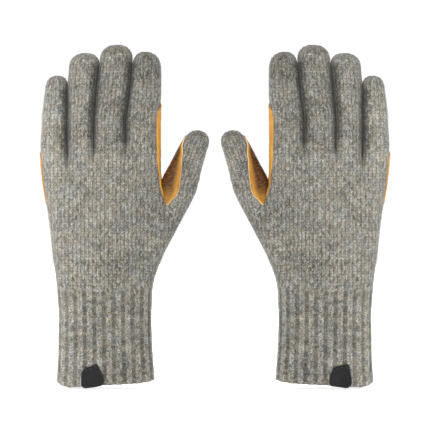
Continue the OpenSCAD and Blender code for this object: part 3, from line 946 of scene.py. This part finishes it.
def piece(name, side, points, faces, materials, cut=None, values=None):
    """A mesh of the faces given, with only the points they use."""
    used, number = np.unique(faces, return_inverse=True)
    number = number.reshape(faces.shape)
    if SIDES[side] < 0:
        number = number[:, ::-1]
    placed = to_world(points[used], side)
    mesh = bpy.data.meshes.new(name)
    mesh.vertices.add(len(placed))
    mesh.vertices.foreach_set("co", placed.astype(np.float32).ravel())
    mesh.loops.add(number.size)
    mesh.loops.foreach_set("vertex_index", number.astype(np.int32).ravel())
    mesh.polygons.add(len(number))
    mesh.polygons.foreach_set("loop_start", np.arange(0, number.size, 4, dtype=np.int32))
    for one in materials:
        mesh.materials.append(one)
    if cut is not None:
        mesh.polygons.foreach_set("material_index", cut.astype(np.int32))
    for key, value in (values or {}).items():
        kind = "FLOAT" if value.ndim == 1 else "FLOAT_VECTOR"
        layer = mesh.attributes.new(key, kind, "POINT")
        field = "value" if value.ndim == 1 else "vector"
        layer.data.foreach_set(field, value[used].astype(np.float32).ravel())
    mesh.update(calc_edges=True)
    mesh.validate()
    mesh.shade_smooth()
    made = bpy.data.objects.new(name, mesh)
    bpy.context.scene.collection.objects.link(made)
    return made


def at(side, u, y, z):
    """A place of one glove's own frame, in metres in the shared frame."""
    return (SIDES[side] * (u + HALF_PAIR) * MM, y * MM, z * MM)


def bend_piece(made, side, label):
    """Ties a piece of the hand's knitting or leather to the hand's body. The others only have their placing
    baked into their points.
    """
    k, part = divmod(label, 10)
    if label == 0:
        ends = [at(side, 0, 0, z) for z in (CUFF_TOP - WRIST_BEND, CUFF_TOP)]
        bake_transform(made)
        return
    if label == 1:
        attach(made, f"{side}_hand")
        return
    if k == THUMB:
        middle = THUMB_ROOT_BEND if part == 2 else FOLD_AT[k]
        low, high = middle - THUMB_BEND, middle + THUMB_BEND
        ends = [at(side, u, 0, z) for u, z in (thumb_place(low), thumb_place(high))]
    else:
        low = START[k] if part == 2 else FOLD_AT[k] - MIDDLE_BEND
        high = START[k] + 2 * ROOT_BEND if part == 2 else FOLD_AT[k] + MIDDLE_BEND
        ends = [at(side, 0, 0, z) for z in (low, high)]
    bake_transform(made)


def node_name(side, label, leather):
    if label < 2:
        return f"{side}_palm_leather" if leather else f"{side}_{('cuff', 'hand')[label]}"
    k, part = divmod(label, 10)
    return f"{side}_{DIGITS[k]}_{'base' if part == 2 else 'tip'}{'_leather' if leather else ''}"


def knit_pieces(side, surface):
    _, points, faces, normals, labels, values = surface
    raised = points + normals * values["height"][:, None]
    # The wool's noise is finer across the columns, as its fibres lie along them.
    yarn = stack(values["wale"] * 2.2, values["course"], points[:, 1] * 0.15)
    # The shade attribute carries the yarn's tone with painted light and shade, and open carries painted
    # shade between the stitches.
    values = {"shade": values["shade"], "open": values["open"], "yarn": yarn}
    for label in np.unique(labels[labels >= 0]):
        name = node_name(side, int(label), False)
        made = piece(f"{name}_knit", side, raised, faces[labels == label], [WOOL], values=values)
        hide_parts(name)
        bend_piece(made, side, int(label))


def leather_pieces(side, leather):
    points, faces, labels, cut, shade = leather
    for label in np.unique(labels):
        name = node_name(side, int(label), True)
        chosen = labels == label
        made = piece(f"{name}_hide", side, points, faces[chosen], [PALM, CUT], cut[chosen], {"shade": shade})
        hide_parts(name)
        bend_piece(made, side, int(label))


# ---- Tab on the hem ----

# Outline of the front flap, from its lowest point round by the thumb's side. The two tabs were cut freehand.
TAB_OUTLINE = {
    "left": [(17.5, 0.0), (10, 0.9), (5, 1.8), (2.2, 3.4), (1.5, 5.6), (2.2, 9.4), (4.2, 13.6), (6.2, 17.8),
             (6.9, 19.4), (7.9, 19.9), (9.2, 19.1), (11.5, 18.0), (14.6, 17.1), (17.4, 15.6), (18.9, 13.7),
             (19.8, 11.4), (19.9, 2.6), (18.9, 1.0)],
    "right": [(17.4, 0.0), (14, 0.7), (4.9, 1.9), (3.5, 3.0), (3.3, 5.5), (3.5, 8.6), (4.6, 11.8),
              (5.9, 14.9), (8.4, 17.1), (10.8, 18.2), (15.5, 18.8), (17.8, 19.5), (19.0, 19.2), (19.6, 17.4),
              (19.9, 13.8), (21.0, 8.8), (21.4, 4.6), (20.6, 1.9)],
}
TAB_SHIFT = {"left": (-0.9, 1.0), "right": (0.0, 1.0)}
TAB_T = 1.2  # its thickness
TAB_LIFT = 0.5  # gap between it and the cuff's base surface
TAB_EDGE_POINTS = 96
FOLD_POINTS = 17
THREAD_HALF = 0.42


def cuff_front(u, z):
    """Depth of the cuff's face under a point of the tab."""
    return oval(u, EDGES[0](z), EDGES[5](z), HALF_DEPTH(z), HAND_POWER)


def closed_curve(corners, count, inset):
    """Points spaced evenly round an outline, with its corners slightly rounded."""
    corners = np.array(corners, float)
    loop = np.vstack([corners, corners[:1]])
    along = np.concatenate([[0], np.cumsum(np.linalg.norm(np.diff(loop, axis=0), axis=1))])
    fine = np.linspace(0, along[-1], 8 * count, endpoint=False)
    curve = stack(*(np.interp(fine, along, loop[:, i]) for i in (0, 1)))
    kernel = np.hanning(43)[1:-1]
    kernel /= kernel.sum()
    wrapped = np.vstack([curve[-20:], curve, curve[:20]])
    curve = stack(*(np.convolve(wrapped[:, i], kernel, mode="valid") for i in (0, 1)))[::8]
    ahead = np.roll(curve, -1, axis=0) - np.roll(curve, 1, axis=0)
    return curve + unit(stack(ahead[:, 1], -ahead[:, 0])) * inset


def tab_front(side):
    """The flap's outer face as rings from its middle to its edge, then round the edge and under."""
    edge = closed_curve(TAB_OUTLINE[side], TAB_EDGE_POINTS, -0.4) + TAB_SHIFT[side]
    middle = edge.mean(axis=0)
    rings = []
    flat = [(share, 0) for share in (0.0, 0.2, 0.4, 0.6, 0.78)]
    for share, drop in (*flat, (0.9, 0.02), (0.97, 0.12), (1.0, 0.4), (1.0, 0.85), (0.97, TAB_T)):
        ring = middle + (edge - middle) * share
        out = cuff_front(ring[:, 0], np.maximum(ring[:, 1], 0)) + TAB_LIFT + TAB_T - drop
        out = out + 0.12 * noise(stack(ring[:, 0], ring[:, 1], ring[:, 0] * 0) + 50, 3.0)
        rings.append(stack(ring[:, 0], -out, ring[:, 1]))
    rings = np.array(rings)
    rings = np.concatenate([rings, rings[:, :1]], axis=1)
    faces = quads(0, *rings.shape[:2], False)
    return rings.reshape(-1, 3), faces


def tab_fold(side, start):
    """The strip that folds from the flap under the hem and up inside the cuff."""
    outline = np.array(TAB_OUTLINE[side])
    low, high = outline[:, 0].min() + 1.5, outline[:, 0].max() - 2.0
    u = np.linspace(low, high, FOLD_POINTS)
    face = cuff_front(u, 2.0)
    middle = face - WALL / 2
    half = WALL / 2 + TAB_LIFT + TAB_T / 2
    turn = np.linspace(0, np.pi, 11)
    path = [(half, 3.4)]
    path += [(half * math.cos(a), 1.0 - 0.9 * math.sin(a)) for a in turn]
    path += [(-half, z) for z in (5.0, 9.0, 12.0)]
    outer, inner = [], []
    slant = np.interp(u, (3, 17.5), (2.9, 1.3))
    for across, z in path:
        sign = across / half
        out = sign * TAB_T / 2
        down = TAB_T / 2 * (1 - sign**2)
        outer.append(stack(u, -(middle + across + out), z + slant - down))
        inner.append(stack(u, -(middle + across - out), z + slant + down))
    sheet = np.array(outer + inner[::-1])
    sheet = np.concatenate([sheet, sheet[:1]])
    return sheet.reshape(-1, 3), quads(start, *sheet.shape[:2], True)


def make_tab(side):
    front, front_faces = tab_front(side)
    fold, fold_faces = tab_fold(side, len(front))
    points = np.concatenate([front, fold])
    faces = np.concatenate([front_faces[:, ::-1], fold_faces])
    made = piece(f"{side}_tab_hide", side, points, faces, [BLACK])
    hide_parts(f"{side}_tab")
    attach(made, f"{side}_cuff")


def make_thread(side):
    """Five stitches along the top edge of the tab."""
    edge = closed_curve(TAB_OUTLINE[side], TAB_EDGE_POINTS, 1.3) + TAB_SHIFT[side]
    upper = edge[edge[:, 1] > 13.0]
    upper = upper[np.argsort(upper[:, 0])]
    ends = np.linspace(0.04, 0.96, 11) * (len(upper) - 1)
    points, faces, start = [], [], 0
    for i in range(5):
        a, b = upper[int(ends[2 * i])], upper[int(ends[2 * i + 1])]
        share = np.linspace(-1, 1, 9)
        centre = (a + b) / 2 + np.outer(share, (b - a) / 2)
        thick = THREAD_HALF * np.sqrt(np.clip(1.02 - share**4, 0.02, 1))
        out = cuff_front(centre[:, 0], centre[:, 1]) + TAB_LIFT + TAB_T + 0.15
        ahead = (b - a) / np.linalg.norm(b - a)
        turn = np.linspace(0, 2 * np.pi, 9)
        wide = thick[:, None] * np.cos(turn)
        out = out[:, None] + thick[:, None] * np.sin(turn) * 0.8
        tube = stack(centre[:, :1] - ahead[1] * wide, -out, centre[:, 1:] + ahead[0] * wide)
        points.append(tube.reshape(-1, 3))
        faces.append(quads(start, *tube.shape[:2], True))
        start += tube.shape[0] * tube.shape[1]
    made = piece(f"{side}_tab_stitches", side, np.concatenate(points), np.concatenate(faces), [THREAD])
    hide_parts(f"{side}_tab_thread")
    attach(made, f"{side}_cuff")


# ---- Stage ----


def make_world(scene):
    """White surroundings."""
    world = bpy.data.worlds.new("white room")
    world.use_nodes = True
    background = world.node_tree.nodes["Background"]
    background.inputs[0].default_value = (1.0, 1.0, 1.0, 1)
    background.inputs[1].default_value = 1.02
    scene.world = world


def make_floor(scene):
    """A pale floor, just below the hems."""
    half, level = 4, -0.001
    corners = [(x * half, y * half, level) for x, y in ((-1, -1), (1, -1), (1, 1), (-1, 1))]
    floor_mesh = bpy.data.meshes.new("floor")
    floor_mesh.from_pydata(corners, [], [(0, 1, 2, 3)])
    floor = bpy.data.objects.new("floor", floor_mesh)
    paper, _, shader = material("white paper")
    settle(shader, Base_Color=(0.97, 0.97, 0.97, 1), Roughness=0.95)
    settle(shader, Emission_Color=(1.0, 1.0, 1.0, 1), Emission_Strength=0.8)
    floor_mesh.materials.append(paper)
    scene.collection.objects.link(floor)


def make_light(scene):
    """A soft light from the upper left."""
    key_data = bpy.data.lights.new("key", "AREA")
    key_data.energy = 9.0
    key_data.size = 0.7
    key = bpy.data.objects.new("key", key_data)
    key.location = (-0.55, -1.0, 0.95)
    key.rotation_euler = (math.radians(57), 0, math.radians(-29))
    scene.collection.objects.link(key)


def make_camera(scene):
    """A camera almost level with the middle of the pair."""
    camera_data = bpy.data.cameras.new("camera")
    camera_data.lens = 159.2
    camera_data.sensor_width = 36
    camera = bpy.data.objects.new("camera", camera_data)
    camera.location = (0, -1.6, (cad_low.z + cad_high.z) / 2 + 0.0009)
    camera.rotation_euler = (math.pi / 2, 0, 0)
    scene.collection.objects.link(camera)
    scene.camera = camera


def make_stage():
    scene = bpy.context.scene
    scene.view_settings.view_transform = "Standard"
    for make in (make_world, make_floor, make_light, make_camera):
        make(scene)


surface = build_surface()
leather = leather_mesh(surface[0])
for side in SIDES:
    knit_pieces(side, surface)
    leather_pieces(side, leather)
    make_tab(side)
    make_thread(side)
make_stage()
